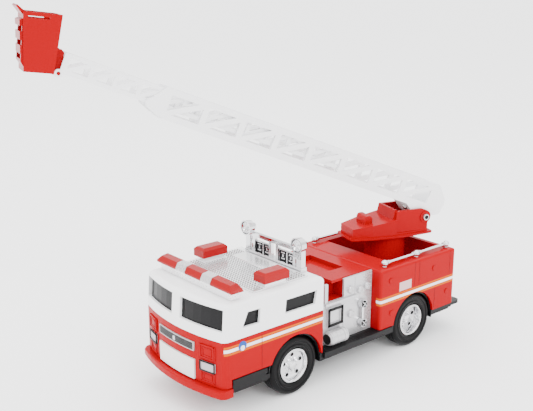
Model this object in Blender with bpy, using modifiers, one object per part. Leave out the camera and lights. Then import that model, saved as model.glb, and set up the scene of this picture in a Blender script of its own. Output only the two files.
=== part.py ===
"""Toy fire engine with a turning, raising and extending ladder.

Frame: +X is the engine's left side, -Y its front and +Z up. The ground is z = 0 and the
origin is the middle of the whole toy's footprint. Dimensions below are in millimetres.
"""
import math

import bmesh
import bpy
from mathutils import Matrix, Vector

MM = 0.001
GAP = 0.3                      # clearance between neighbouring pieces

# Truck, measured from the front axle (y = 0) and the ground (z = 0)
ORIGIN = (26.41, -29.73)        # front axle's middle, seen from the footprint's middle
CAB_HALF = 47.8                # half width of the cab
FRONT_Y = -73.2                # middle of the cab's front
FRONT_RADIUS = 155.0           # the front is bowed in plan
FRONT_RAKE = 0.07             # the windscreen leans back as it rises
CAB_REAR = 26.0
WALL = 2.0                     # shell thickness
FLOOR_TOP = 25.0               # top of the chassis plate
FLOOR_LOW = 18.8
SHELL_LOW = FLOOR_TOP + GAP
BELT_Z = 59.8                  # joint between the red and the white cab shells
ROOF_Z = 86.5
BODY_HALF = 47.5
BODY_FRONT = 89.0
BODY_REAR = 182.0
BODY_TOP = 74.8
WELL_FRONT = 112.0
WELL_REAR = 176.0
WELL_HALF = 37.5
WELL_FLOOR = 50.0
PANEL_X = 36.3                 # inner face of the pump panels
DECK_STEP = 75.0               # riser between the low and the high deck
DECK_LOW = 71.0

BATTERY_Y = (28.8, 85.8)       # outer walls of the battery box

# Wheels
WHEELBASE = 130.5
AXLE_Z = 22.4
TYRE_RADIUS = 22.4
TYRE_X = (31.6, 45.8)
RIM_RADIUS = 13.3
AXLE_RADIUS = 2.0
FRONT_ARCH = 25.5
REAR_ARCH = 24.8
LINER = 1.0
WELL_X = 30.2                  # inner end of a wheel well

# Turntable, measured from its own axis
TURN_Y = 145.0
TURN_YAW = math.radians(-17.8)
PEDESTAL_RADIUS = 17.0
PLATE_Z = (85.0, 86.8)
CHEEK_X = (12.9, 15.4)
CHEEK_TOP = 106.9
HINGE_BACK = 29.7              # hinge axis behind the turning axis
HINGE_Z = 99.6

# Ladder, measured from the hinge: along the ladder, and square to it
LIFT = math.radians(22.0)
RAIL_LOW = 6.2
RAIL_HIGH = 29.4
RAIL = 4.6                     # depth of a rail
BAY = 31.15                    # distance between posts
BAYS = 8
FRAME_X = (9.6, 12.0)
FLY_X = (7.2, 9.2)
FLY_LOW = 13.4
FLY_HIGH = 28.0
FLY_BAY = 18.0
FLY_BAYS = 13
FLY_TIP = 326.2
PIN = (326.4, 12.6)            # basket hinge: along, square

# Basket, measured from its hinge
BASKET_TILT = math.radians(7.0)
BASKET_LOW = -0.3
BASKET_HIGH = 39.6


# ---------------------------------------------------------------- modelling helpers

def make_collection(name):
    """Returns a new collection linked to the scene."""
    group = bpy.data.collections.new(name)
    bpy.context.scene.collection.children.link(group)
    return group


def mesh_object(name, bm):
    """Turns a bmesh in millimetres into an object in metres."""
    bmesh.ops.recalc_face_normals(bm, faces=bm.faces)
    bmesh.ops.scale(bm, vec=(MM, MM, MM), verts=bm.verts)
    mesh = bpy.data.meshes.new(name)
    bm.to_mesh(mesh)
    bm.free()
    thing = bpy.data.objects.new(name, mesh)
    PARTS.objects.link(thing)
    return thing


def box(x, y, z, name="box"):
    """A block between three pairs of limits."""
    bm = bmesh.new()
    bmesh.ops.create_cube(bm, size=1.0)
    size = [high - low for low, high in (x, y, z)]
    middle = [(high + low) / 2 for low, high in (x, y, z)]
    bmesh.ops.scale(bm, vec=size, verts=bm.verts)
    bmesh.ops.translate(bm, vec=middle, verts=bm.verts)
    return mesh_object(name, bm)


def rod(start, end, radius, tip=None, sides=24, name="rod"):
    """A round bar or a cone frustum from one point to another."""
    start = Vector(start)
    reach = Vector(end) - start
    bm = bmesh.new()
    bmesh.ops.create_cone(bm, cap_ends=True, segments=sides, radius1=radius,
                          radius2=radius if tip is None else tip, depth=reach.length)
    turn = Vector((0, 0, 1)).rotation_difference(reach).to_matrix().to_4x4()
    place = Matrix.Translation(start + reach / 2) @ turn
    bmesh.ops.transform(bm, matrix=place, verts=bm.verts)
    return mesh_object(name, bm)


def ball(centre, radius, name="ball"):
    """A small sphere."""
    bm = bmesh.new()
    bmesh.ops.create_uvsphere(bm, u_segments=9, v_segments=6, radius=radius)
    bmesh.ops.translate(bm, vec=centre, verts=bm.verts)
    return mesh_object(name, bm)


AXES = {
    "X": Matrix(((0, 0, 1, 0), (1, 0, 0, 0), (0, 1, 0, 0), (0, 0, 0, 1))),
    "Y": Matrix(((1, 0, 0, 0), (0, 0, 1, 0), (0, 1, 0, 0), (0, 0, 0, 1))),
    "Z": Matrix.Identity(4),
}


def slab(outline, low, high, axis="Z", holes=(), name="slab"):
    """A flat outline with holes, given thickness along an axis.

    The outline is (x, y) for axis Z, (y, z) for axis X and (x, z) for axis Y.
    """
    curve = bpy.data.curves.new(name, "CURVE")
    curve.dimensions = "2D"
    curve.fill_mode = "BOTH"
    curve.extrude = (high - low) / 2
    for loop in (outline, *holes):
        spline = curve.splines.new("POLY")
        spline.points.add(len(loop) - 1)
        spline.use_cyclic_u = True
        for point, (u, v) in zip(spline.points, loop):
            point.co = (u, v, 0, 1)
    flat = bpy.data.objects.new(name, curve)
    PARTS.objects.link(flat)
    bpy.context.view_layer.update()
    graph = bpy.context.evaluated_depsgraph_get()
    mesh = bpy.data.meshes.new_from_object(flat.evaluated_get(graph))
    bm = bmesh.new()
    bm.from_mesh(mesh)
    bpy.data.objects.remove(flat)
    bpy.data.curves.remove(curve)
    bpy.data.meshes.remove(mesh)
    bmesh.ops.remove_doubles(bm, verts=bm.verts, dist=0.001)
    bmesh.ops.translate(bm, vec=(0, 0, (high + low) / 2), verts=bm.verts)
    bmesh.ops.transform(bm, matrix=AXES[axis], verts=bm.verts)
    return mesh_object(name, bm)


def bake(thing):
    """Applies the modifiers on an object."""
    bpy.context.view_layer.update()
    graph = bpy.context.evaluated_depsgraph_get()
    mesh = bpy.data.meshes.new_from_object(thing.evaluated_get(graph))
    old = thing.data
    thing.modifiers.clear()
    thing.data = mesh
    bpy.data.meshes.remove(old)
    bm = bmesh.new()
    bm.from_mesh(mesh)
    bmesh.ops.recalc_face_normals(bm, faces=bm.faces)
    bm.to_mesh(mesh)
    bm.free()
    return thing


def turned(profile, axis="X", sides=32, name="turned"):
    """A profile of (radius, height) points turned about an axis."""
    bm = bmesh.new()
    points = [bm.verts.new((radius * MM, 0, height * MM)) for radius, height in profile]
    for a, b in zip(points, points[1:]):
        bm.edges.new((a, b))
    if profile[0][0] > 0:
        bm.edges.new((points[-1], points[0]))
    mesh = bpy.data.meshes.new(name)
    bm.to_mesh(mesh)
    bm.free()
    thing = bpy.data.objects.new(name, mesh)
    PARTS.objects.link(thing)
    screw = thing.modifiers.new("turn", "SCREW")
    screw.steps = sides
    screw.render_steps = sides
    screw.use_merge_vertices = True
    screw.merge_threshold = 0.00002
    bake(thing)
    thing.data.transform(AXES[axis])
    return thing


def combine(thing, others, operation):
    """Joins others to a thing, or cuts them out of it, and clears them away."""
    for other in others:
        tool = thing.modifiers.new(operation.lower(), "BOOLEAN")
        tool.operation = operation
        tool.solver = "EXACT"
        tool.object = other
    bake(thing)
    for other in others:
        mesh = other.data
        bpy.data.objects.remove(other)
        bpy.data.meshes.remove(mesh)
    return thing


def join(thing, *others):
    return combine(thing, others, "UNION")


def cut(thing, *others):
    return combine(thing, others, "DIFFERENCE")


def round_edges(thing, width, segments, pick):
    """Rounds the edges whose two end points, in millimetres, satisfy pick."""
    bm = bmesh.new()
    bm.from_mesh(thing.data)
    bmesh.ops.dissolve_limit(bm, angle_limit=0.01, verts=bm.verts, edges=bm.edges)
    chosen = [edge for edge in bm.edges
              if pick(edge.verts[0].co / MM, edge.verts[1].co / MM)]
    bmesh.ops.bevel(bm, geom=chosen, offset=width * MM, segments=segments,
                    profile=0.5, affect="EDGES", clamp_overlap=True)
    bm.to_mesh(thing.data)
    bm.free()
    return thing


def mirrored(thing):
    """Reflects a finished piece to the other side of the middle plane."""
    mesh = thing.data
    mesh.transform(Matrix.Scale(-1, 4, (1, 0, 0)))
    mesh.flip_normals()
    return thing


def arc(centre, radius, start, end, steps):
    """Points along an arc, angles in degrees."""
    points = []
    for i in range(steps + 1):
        angle = math.radians(start + (end - start) * i / steps)
        points.append((centre[0] + radius * math.cos(angle), centre[1] + radius * math.sin(angle)))
    return points


def finish(thing, name, parent, material, at=(0, 0, 0)):
    """Names a piece, gives it its material and hangs it on its parent, its origin at a point."""
    thing.name = name
    thing.data.name = name
    offset = Vector(at) * MM
    thing.data.transform(Matrix.Translation(-offset))
    thing.data.materials.clear()
    thing.data.materials.append(MATERIALS[material])
    thing.data.shade_smooth()
    thing.data.set_sharp_from_angle(angle=math.radians(32))
    thing.parent = parent
    thing.location = offset
    return thing


def empty(name, parent, at, turn=(0, 0, 0)):
    """A marker on a joint's axis that carries a moving group."""
    marker = bpy.data.objects.new(name, None)
    PARTS.objects.link(marker)
    marker.parent = parent
    marker.location = Vector(at) * MM
    marker.rotation_euler = turn
    marker.empty_display_size = 0.01
    return marker


# ---------------------------------------------------------------- materials

def plastic(name, colour, roughness=0.3, metallic=0.0):
    material = bpy.data.materials.new(name)
    material.use_nodes = True
    shader = material.node_tree.nodes["Principled BSDF"]
    shader.inputs["Base Color"].default_value = (*colour, 1.0)
    shader.inputs["Roughness"].default_value = roughness
    shader.inputs["Metallic"].default_value = metallic
    return material


def make_materials():
    return {
        "red": plastic("red_abs", (0.80, 0.010, 0.018), 0.22),
        "white": plastic("white_abs", (0.86, 0.86, 0.88), 0.30),
        "black": plastic("black_abs", (0.02, 0.02, 0.022), 0.40),
        "window": plastic("dark_window", (0.022, 0.022, 0.024), 0.22),
        "chrome": plastic("chrome_plating", (0.86, 0.86, 0.88), 0.08, 1.0),
        "silver": plastic("silver_paint", (0.62, 0.61, 0.63), 0.38, 0.4),
        "lens": plastic("red_lens", (0.70, 0.02, 0.03), 0.10),
        "clear": plastic("clear_lens", (0.75, 0.76, 0.78), 0.12),
        "rubber": plastic("tyre_rubber", (0.022, 0.021, 0.023), 0.55),
        "plate": plastic("ivory_plate", (0.74, 0.73, 0.69), 0.35),
        "steel": plastic("zinc_steel", (0.60, 0.60, 0.62), 0.30, 1.0),
        "board": plastic("board_green", (0.03, 0.20, 0.07), 0.45),
        "cell": plastic("cell_jacket", (0.05, 0.06, 0.09), 0.35),
        "paper": plastic("speaker_cone", (0.04, 0.04, 0.045), 0.70),
    }


# ---------------------------------------------------------------- chassis and wheels

def front_y(x, outward=0.0):
    """Front face of the cab at x, moved outward."""
    radius = FRONT_RADIUS + outward
    return FRONT_Y + FRONT_RADIUS - math.sqrt(radius ** 2 - x ** 2)


def cab_outline(inset):
    """Plan of the cab: bowed front, rounded front corners and square back."""
    half = CAB_HALF - inset
    turn_in = 4.5
    turn_back = 6.0
    edge = half - turn_in
    corner_y = front_y(edge, -inset) + turn_back
    corner = [(edge + turn_in * math.sin(math.radians(a)), corner_y - turn_back * math.cos(math.radians(a)))
              for a in (22.5, 45, 67.5, 90)]
    bow = [(edge * i / 5, front_y(edge * i / 5, -inset)) for i in range(-5, 6)]
    left = [(-x, y) for x, y in reversed(corner)]
    return left + bow + corner + [(half, CAB_REAR - inset), (-half, CAB_REAR - inset)]


def half_disc(centre_y, radius):
    return arc((centre_y, AXLE_Z), radius, 0, 180, 16)


def wheel_wells(centre_y, radius):
    """Left and right wheel-well liners, each an arched wall closed on its inner side."""
    pieces = []
    for side in (1, -1):
        outer, inner = half_disc(centre_y, radius), half_disc(centre_y, radius - LINER)
        ends = sorted((side * WELL_X, side * 45.4))
        pieces.append(slab(outer + inner[::-1], *ends, axis="X"))
        wall = sorted((side * (WELL_X - 1.6), side * (WELL_X + 0.4)))
        pieces.append(slab(outer, *wall, axis="X"))
    return pieces


def make_chassis(root):
    plate = box((-46.6, 46.6), (-57.2, 181.5), (FLOOR_LOW, FLOOR_TOP))
    boards = [box((-48.4, 48.4), (28.0, 104.0), (20.6, FLOOR_TOP))]
    step = [(-46, 178), (46, 178), *arc((42, 190.5), 4, 0, 90, 4), *arc((-42, 190.5), 4, 90, 180, 4)]
    boards.append(slab(step, 21.9, 24.6))
    undercuts = []
    for side in (1, -1):
        boards.append(box(sorted((side * 43.4, side * 48.6)), (-59.4, -28.6), (27.6, 31.3)))
        boards.append(box(sorted((side * 43.4, side * 47.6)), (-59.0, -28.9), (22.2, 28.4)))
        undercuts.append(box(sorted((side * 44.0, side * 60)), (-80, -20), (10, 21.5)))
        undercuts.append(box(sorted((side * 44.0, side * 60)), (155, 200), (10, 21.5)))
    cut(plate, *undercuts)
    axle_blocks = [box((-WELL_X, WELL_X), (y - 6, y + 6), (FLOOR_LOW, 28.4)) for y in (0, WHEELBASE)]
    battery_box = box((-26, 26), BATTERY_Y, (FLOOR_LOW, 39.5))
    join(plate, *boards, battery_box, *axle_blocks)
    wells = []
    for y, radius in ((0, FRONT_ARCH), (WHEELBASE, REAR_ARCH)):
        for side in (1, -1):
            wells.append(rod((side * WELL_X, y, AXLE_Z), (side * 60, y, AXLE_Z), radius - 0.8, sides=32))
    cut(plate, *wells)
    join(plate, *wheel_wells(0, FRONT_ARCH - GAP), *wheel_wells(WHEELBASE, REAR_ARCH - GAP))
    holes = [rod((-40, y, AXLE_Z), (40, y, AXLE_Z), AXLE_RADIUS + GAP, sides=16) for y in (0, WHEELBASE)]
    holes.append(box((-24.4, 24.4), grown(BATTERY_Y, -1.5), (10, 37.8)))
    holes += [rod((x, y, 10), (x, y, 30), 1.6, sides=10) for x, y in SCREW_PLACES]
    holes += [box((-9, 9), (y, y + 1.6), (10, 30)) for y in (-46, -42.5, -39, -35.5, -32)]
    holes.append(box((14.6, 19.4), (-22, -8), (10, 30)))
    cut(plate, *holes)
    finish(plate, "chassis", root, "black")


SCREW_PLACES = ((-38, -48), (38, -48), (-40, 172), (40, 172))


def make_chassis_screws(root):
    """Self-tapping screws that hold the shells down on the chassis."""
    for number, (x, y) in enumerate(SCREW_PLACES, start=1):
        screw = rod((x, y, 17.2), (x, y, 18.5), 2.6, sides=12)
        join(screw, rod((x, y, 17.8), (x, y, 24.6), 1.2, sides=8))
        finish(screw, "chassis_screw_%d" % number, root, "steel")


def make_tyre(name, parent, side):
    low, high = TYRE_X
    shoulder = 2.2
    profile = [(RIM_RADIUS + GAP, low), (RIM_RADIUS + GAP, high - 1.2), (RIM_RADIUS + 1.4, high),
               (TYRE_RADIUS - 2.6, high), (TYRE_RADIUS - 0.6, high - 0.8), (TYRE_RADIUS, high - shoulder),
               (TYRE_RADIUS, low + shoulder), (TYRE_RADIUS - 1.6, low)]
    tyre = turned(profile[::-1], sides=32)
    if side < 0:
        mirrored(tyre)
    finish(tyre, name, parent, "rubber")


def make_rim(name, parent, side, dish):
    """Rim turned in one piece: outer flange, dished face, centre cap and a blind bore."""
    low, high = TYRE_X[0] + 1, TYRE_X[1] - 0.3
    face = high - dish
    bore = AXLE_RADIUS + GAP
    profile = [(0, face + 2.6), (3.6, face + 2.6), (4.6, face + 1.6), (4.6, face), (10.2, face - 0.4),
               (11.6, high), (RIM_RADIUS, high), (RIM_RADIUS, low), (11.9, low), (11.9, face - 2.4),
               (4.6, face - 2.0), (4.6, low), (bore, low), (bore, face - 0.6), (0, face - 0.6)]
    rim = turned(profile[::-1], sides=20)
    if side < 0:
        mirrored(rim)
    finish(rim, name, parent, "chrome")


def make_axle(name, parent, reach):
    axle = rod((-reach, 0, 0), (reach, 0, 0), AXLE_RADIUS, sides=16)
    finish(axle, name, parent, "steel")


def make_wheels(front, rear):
    for end, parent, dish in (("front", front, 3.4), ("rear", rear, 6.6)):
        make_axle(end + "_axle", parent, TYRE_X[1] - dish - 1.2)
        for word, side in (("left", 1), ("right", -1)):
            make_tyre(end + "_tyre_" + word, parent, side)
            make_rim(end + "_rim_" + word, parent, side, dish)


# ---------------------------------------------------------------- cab

def bow_band(x, outward, depth):
    """Plan of a curved piece set in the cab's front, from outward of it to depth behind that."""
    steps = [x[0] + (x[1] - x[0]) * i / 6 for i in range(7)]
    face = [(s, front_y(s, outward)) for s in steps]
    back = [(s, front_y(s, outward) + depth) for s in reversed(steps)]
    return face + back


FRONT_PLATE_X = (-21.2, 21.2)
FRONT_PLATE_Z = (26.6, 41.3)
GRILLE_X = (-21.0, 21.0)
GRILLE_Z = (47.7, 54.3)
LAMP_X = (27.2, 39.8)
LAMP_Z = (36.3, 42.8)


def grown(pair, amount):
    return (pair[0] - amount, pair[1] + amount)


def make_cab_lower(root):
    shell = slab(cab_outline(0), SHELL_LOW + 0.4, BELT_Z, holes=[cab_outline(WALL)])
    arches = rod((-60, 0, AXLE_Z), (60, 0, AXLE_Z), FRONT_ARCH, sides=48)
    steps = [box(sorted((side * 42, side * 52)), (-59.8, -10), (20, 31.6)) for side in (1, -1)]
    deep = (-90, -60)
    openings = [box(grown(FRONT_PLATE_X, 0.4), deep, (20, FRONT_PLATE_Z[1] + 0.4)),
                box(grown(GRILLE_X, GAP), deep, grown(GRILLE_Z, GAP))]
    for side in (1, -1):
        x = sorted(side * value for value in grown(LAMP_X, GAP))
        openings.append(box(x, deep, grown(LAMP_Z, GAP)))
    cut(shell, arches, *steps, *openings)
    for side in (1, -1):
        panel = sorted((side * 26.0, side * 40.4))
        join(shell, slab(bow_band(panel, 0.6, 1.4), 45.6, 55.4))
    finish(shell, "cab_lower_shell", root, "red")


def lean_back(thing):
    """Leans the front of an upper cab piece back."""
    for vertex in thing.data.vertices:
        if vertex.co.y < -45 * MM:
            vertex.co.y += FRONT_RAKE * (vertex.co.z - BELT_Z * MM)


WINDOW_Z = (67.6, 83.2)
WINDOW_X = (4.75, 45.2)
QUARTER_WINDOW = [(-50.8, 67.6), (-35.3, 67.1), (-34.3, 77.7), (-46.9, 78.0)]
SIDE_WINDOW = [(-11.5, 67.4), (17.6, 67.2), (19.6, 77.5), (-10.6, 77.6)]


def make_cab_upper(root):
    shell = slab(cab_outline(0), BELT_Z + GAP, ROOF_Z)
    top = ROOF_Z - 0.01
    round_edges(shell, 3.2, 3, lambda a, b: a.z > top and b.z > top)
    cut(shell, slab(cab_outline(WALL), BELT_Z - 5, ROOF_Z - WALL))
    left_x, right_x = WINDOW_X, sorted(-x for x in WINDOW_X)
    panes = [box(x, (-90, -60), WINDOW_Z) for x in (left_x, right_x)]
    panes += [slab(QUARTER_WINDOW, -60, 60, axis="X"), slab(SIDE_WINDOW, -60, 60, axis="X")]
    cut(shell, *panes)
    lean_back(shell)
    finish(shell, "cab_upper_shell", root, "white")


def make_cab_windows(root):
    insert = slab(cab_outline(WALL + 0.4), 63.0, ROOF_Z - WALL - 0.5, holes=[cab_outline(WALL + 1.8)])
    lean_back(insert)
    finish(insert, "window_insert", root, "window")


def make_front_pieces(root, plate_slide):
    plate = slab(bow_band(FRONT_PLATE_X, 1.0, 2.2), *FRONT_PLATE_Z)
    peg = rod((0, FRONT_Y + 0.8, 34), (0, -70.4, 34), 2.0, sides=12)
    join(plate, peg)
    plate.data.transform(Matrix.Translation(-plate_slide.location))
    finish(plate, "front_plate", plate_slide, "plate")

    frame = slab(bow_band(GRILLE_X, 0.8, 2.6), *GRILLE_Z)
    cut(frame, box(grown(GRILLE_X, -1.0), (-90, -60), grown(GRILLE_Z, -1.0)))
    finish(frame, "grille_frame", root, "silver")
    mesh = slab(bow_band((GRILLE_X[0] + 1.3, GRILLE_X[1] - 1.3), 0.1, 1.6),
                GRILLE_Z[0] + 1.3, GRILLE_Z[1] - 1.3)
    finish(mesh, "grille_mesh", root, "black")

    for word, side in (("left", 1), ("right", -1)):
        x = sorted((side * LAMP_X[0], side * LAMP_X[1]))
        finish(slab(bow_band(x, 0.9, 2.9), *LAMP_Z), "headlight_" + word, root, "clear")


BUMPER_RADIUS = 150.0


def make_bumper(root):
    half = 49.2
    centre_y = -77.6 + BUMPER_RADIUS
    edge = half - 2.2
    spread = [edge * i / 6 for i in range(-6, 7)]
    bow = [(x, centre_y - math.sqrt(BUMPER_RADIUS ** 2 - x * x)) for x in spread]
    corner_y = bow[-1][1] + 2.6
    outline = [(-half, corner_y), *bow, (half, corner_y), (half, -59.9), (-half, -59.9)]
    bumper = slab(outline, 19.4, 25.3)
    round_edges(bumper, 1.0, 2, lambda a, b: abs(a.z - b.z) < 0.01 and max(a.y, b.y) < -60.5)
    finish(bumper, "front_bumper", root, "red")


def make_roof(root):
    plate = box((-40.5, 40.5), (-34.6, 16.6), (ROOF_Z + GAP, ROOF_Z + 1.1))
    join(plate, box((-30, 30), (1.5, 16.0), (ROOF_Z + 0.6, ROOF_Z + 1.5)),
         *[box(sorted((side * 31.4, side * 40.2)), (-24.0, -4.4), (ROOF_Z + 0.6, BEACON_Z[0] - GAP))
           for side in (1, -1)])
    finish(plate, "roof_tread_plate", root, "chrome")


BAR_BASE_Z = (ROOF_Z + GAP, ROOF_Z + 5.6)
BAR_SECTION = [(-57.4, 92.4), (-57.4, 93.8), (-55.4, 97.4), (-50.0, 98.2), (-46.4, 94.6), (-46.4, 92.4)]
BAR_HALF = 45.0
BAND_X = (9.3, 21.0)


def make_light_bar(root):
    """Raised foot with two silver bands over it, and three hollow red lenses between them."""
    base = box((-42.0, 42.0), (-55.6, -48.0), BAR_BASE_Z)
    for side in (1, -1):
        x = sorted((side * (BAND_X[0] + GAP), side * (BAND_X[1] - GAP)))
        section = [(y, max(z, 91.6) if z > 93 else 91.6) for y, z in BAR_SECTION]
        join(base, slab(section, *x, axis="X"))
    cut(base, box((-36.5, 36.5), (-54.4, -49.2), (88.0, 96)))
    finish(base, "light_bar_base", root, "silver")

    hollow_section = [(-56.2, 80), (-56.2, 93.8), (-54.8, 96.2), (-50.4, 96.8), (-47.6, 94.2), (-47.6, 80)]
    spans = {"left": (BAND_X[1], BAR_HALF),
             "centre": (-BAND_X[0], BAND_X[0]),
             "right": (-BAR_HALF, -BAND_X[1])}
    for word, (low, high) in spans.items():
        lens = slab(BAR_SECTION, low, high, axis="X")
        if word != "centre":
            end = (high if word == "left" else low) * MM
            for vertex in lens.data.vertices:
                if abs(vertex.co.x - end) < 1e-5 and vertex.co.z > 94 * MM:
                    vertex.co.x *= 0.92
        inner_low = low + (5.1 if word == "right" else 1.2)
        inner_high = high - (5.1 if word == "left" else 1.2)
        cut(lens, slab(hollow_section, inner_low, inner_high, axis="X"))
        finish(lens, "light_bar_lens_" + word, root, "lens")

    strip = box((-36, 36), (-54.0, -49.6), (88.2, 89.0))
    leds = [rod((x, -51.8, 88.6), (x, -51.8, 94.0), 1.4, sides=10) for x in (-30, 0, 30)]
    join(strip, *leds)
    finish(strip, "light_bar_leds", root, "board")


BEACON_Z = (91.0, 98.4)


def make_beacon(name, root, side):
    """Bevelled side beacon lens, hollow from below."""
    lens = box((29.7, 42.1), (-25.7, -2.7), BEACON_Z)
    top = BEACON_Z[1] - 0.1
    round_edges(lens, 1.8, 1, lambda a, b: min(a.z, b.z) > top)
    cut(lens, box((31.2, 40.6), (-24.2, -4.2), (80, 96.6)))
    if side < 0:
        mirrored(lens)
    finish(lens, name, root, "lens")


LAMP_CENTRE = (29.5, 107.6)


def make_light_rack(root):
    """Plated frame behind the roof plate, with a round lamp on each end."""
    rack = box((-32.5, 32.5), (17.2, 23.0), (ROOF_Z + GAP, 90.0))
    pieces = [box((-25, 25), (18.4, 21.4), (101.6, 104.6))]
    for x in (-23.4, -4.0, 4.0, 23.4):
        pieces.append(box((x - 1.4, x + 1.4), (18.6, 21.2), (89, 102.6)))
    for low, high in ((-22.4, -5.0), (5.0, 22.4)):
        pieces.append(box((low, high), (20.0, 21.6), (89, 98.5)))
    for side in (1, -1):
        x = side * LAMP_CENTRE[0]
        z = LAMP_CENTRE[1]
        pieces.append(box((x - 2.6, x + 2.6), (17.8, 22.0), (89, 103)))
        pieces.append(box(sorted((side * 22.5, side * 28.5)), (18.6, 21.0), (95.6, 98.2)))
        pieces.append(rod((x, 15.0, z), (x, 20.5, z), 6.2, tip=5.4, sides=20))
        pieces.append(rod((x, 20.0, z), (x, 24.0, z), 5.0, tip=2.6, sides=20))
    join(rack, *pieces)
    for side in (1, -1):
        x = side * LAMP_CENTRE[0]
        z = LAMP_CENTRE[1]
        cut(rack, rod((x, 14.0, z), (x, 16.4, z), 5.2, sides=20))
    finish(rack, "light_rack", root, "chrome")


# ---------------------------------------------------------------- middle and rear bodies

NICHE_Y = (40.2, 57.4)
NICHE_Z = (59.0, 72.6)


def make_mid_deck(root):
    """Red middle body: two deck levels, a canopy each side and a crew niche under it."""
    deck = box((-PANEL_X + GAP, PANEL_X - GAP), (CAB_REAR + GAP, BODY_FRONT - GAP), (SHELL_LOW, DECK_LOW))
    raised = [box((-35.9, 35.9), (DECK_STEP, BODY_FRONT - GAP), (DECK_LOW - 3, BODY_TOP))]
    for x in ((19.0, 35.9), (-35.9, -19.0)):
        raised.append(box(x, (46.0, DECK_STEP + 2), (DECK_LOW - 3, BODY_TOP)))
    join(deck, *raised)
    hollow = box((-18.0, 18.0), (CAB_REAR + 2.4, BODY_FRONT - 2.4), (10, DECK_LOW - 2))
    wide = box((-33.8, 33.8), (CAB_REAR + 2.4, BODY_FRONT - 2.4), (10, NICHE_Z[0] - 2.4))
    niches = [box(sorted((side * 26.0, side * 40.0)), NICHE_Y, NICHE_Z) for side in (1, -1)]
    cut(deck, hollow, wide, *niches)
    finish(deck, "mid_deck", root, "red")


def make_pump_panel(name, root, side):
    """Silver pump panel: gauge caps, a shelf, a level indicator, a suction tank and an open corner."""
    outline = [(27.4, SHELL_LOW), (88.6, SHELL_LOW), (88.6, 74.2), (NICHE_Y[1], 74.2),
               (NICHE_Y[1], NICHE_Z[0]), (NICHE_Y[0], NICHE_Z[0]), (NICHE_Y[0], 73.8), (37.0, 73.8),
               (37.0, NICHE_Z[0]), (27.4, NICHE_Z[0])]
    panel = slab(outline, PANEL_X, PANEL_X + 1.8, axis="X")
    fittings = [box((37.5, 39.6), (37.0, 71.0), (56.6, 58.6))]
    for y, z in ((64.1, 64.0), (74.6, 61.6), (82.4, 62.9), (64.9, 43.8)):
        fittings.append(rod((37.5, y, z), (39.6, y, z), 3.4, tip=3.0, sides=16))
    fittings.append(rod((42.2, 37.4, 31.6), (42.2, 54.4, 31.6), 5.4, sides=20))
    fittings.append(rod((42.2, 36.0, 31.6), (42.2, 38.4, 31.6), 4.9, sides=20))
    fittings.append(rod((42.2, 50.6, 31.6), (42.2, 52.4, 31.6), 5.8, sides=20))
    fittings.append(box((37.5, 40.2), (38.8, 55.0), (39.6, 54.6)))
    join(panel, *fittings)
    cut(panel, box((39.2, 42), (40.8, 52.0), (41.6, 52.6)))
    if side < 0:
        mirrored(panel)
    finish(panel, name, root, "silver")


def make_intake(name, root, side):
    """Two hose couplings joined by a pipe."""
    y = 76.6
    lower, upper = 33.8, 49.8
    body = rod((38.4, y, lower), (42.2, y, lower), 3.8, tip=3.4, sides=16)
    pipe = rod((40.0, y, lower), (40.0, y, upper), 1.3, sides=10)
    join(body, pipe, rod((38.4, y, upper), (42.2, y, upper), 3.8, tip=3.4, sides=16))
    if side < 0:
        mirrored(body)
    finish(body, name, root, "chrome")


def make_rear_body(root):
    """Red rear body with an open well for the turntable and a locker door each side."""
    body = box((-BODY_HALF, BODY_HALF), (BODY_FRONT, BODY_REAR), (SHELL_LOW, BODY_TOP))
    round_edges(body, 2.0, 2, lambda a, b: min(a.z, b.z) > BODY_TOP - 0.1 or abs(a.z - b.z) > 10)
    well = box((-WELL_HALF, WELL_HALF), (WELL_FRONT, WELL_REAR), (WELL_FLOOR, 90))
    inner = BODY_HALF - WALL
    under = box((-inner, inner), (BODY_FRONT + WALL, BODY_REAR - WALL), (10, WELL_FLOOR - WALL))
    front = box((-inner, inner), (BODY_FRONT + WALL, WELL_FRONT - WALL), (WELL_FLOOR - 5, BODY_TOP - WALL))
    sides = [box(sorted((side * (WELL_HALF + WALL), side * inner)), (BODY_FRONT + WALL, BODY_REAR - WALL),
                 (WELL_FLOOR - 5, BODY_TOP - WALL)) for side in (1, -1)]
    arches = rod((-60, WHEELBASE, AXLE_Z), (60, WHEELBASE, AXLE_Z), REAR_ARCH, sides=48)
    spigot = rod((0, TURN_Y, 40), (0, TURN_Y, 60), SPIGOT_RADIUS + 0.5, sides=24)
    cut(body, well, under, front, *sides, arches, spigot)
    knobs = []
    for side in (1, -1):
        for y, z in ((100.7, 64.8), (154.1, 63.3), (102.4, 37.1), (172.3, 38.4)):
            knobs.append(rod((side * 46.5, y, z), (side * 48.3, y, z), 2.6, tip=2.2, sides=12))
    join(body, *knobs)
    finish(body, "rear_body", root, "red")


RAIL_POSTS = (100.6, 139.0, 177.6)
HANDRAIL_Z = 77.6
HANDRAIL_X = 40.4


def make_handrail(name, root, side):
    x = side * HANDRAIL_X
    rail = rod((x, RAIL_POSTS[0], HANDRAIL_Z), (x, RAIL_POSTS[-1], HANDRAIL_Z), 1.1, sides=10)
    pieces = []
    for y in RAIL_POSTS:
        pieces.append(ball((x, y, HANDRAIL_Z), 2.5))
    join(rail, *pieces)
    finish(rail, name, root, "chrome")


# ---------------------------------------------------------------- turntable

SPIGOT_RADIUS = 7.0
TURN_PLAN = ((-39.2, 12.0), (-37.6, 13.4), (-20.0, 17.6), (0.0, 19.6), (12.0, 19.4), (35.5, 16.8),
             (37.0, 15.6))
HOUSING_PLAN = ((-36.8, 10.8), (-20.0, 15.2), (-3.0, 17.0), (10.0, 16.8), (32.2, 15.4))
DECK_SLOPE = 0.145             # the front deck rises towards the hinge


def symmetric(half_plan):
    """A closed plan from (y, half width) pairs."""
    return [(x, y) for y, x in half_plan] + [(-x, y) for y, x in reversed(half_plan)]


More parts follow.
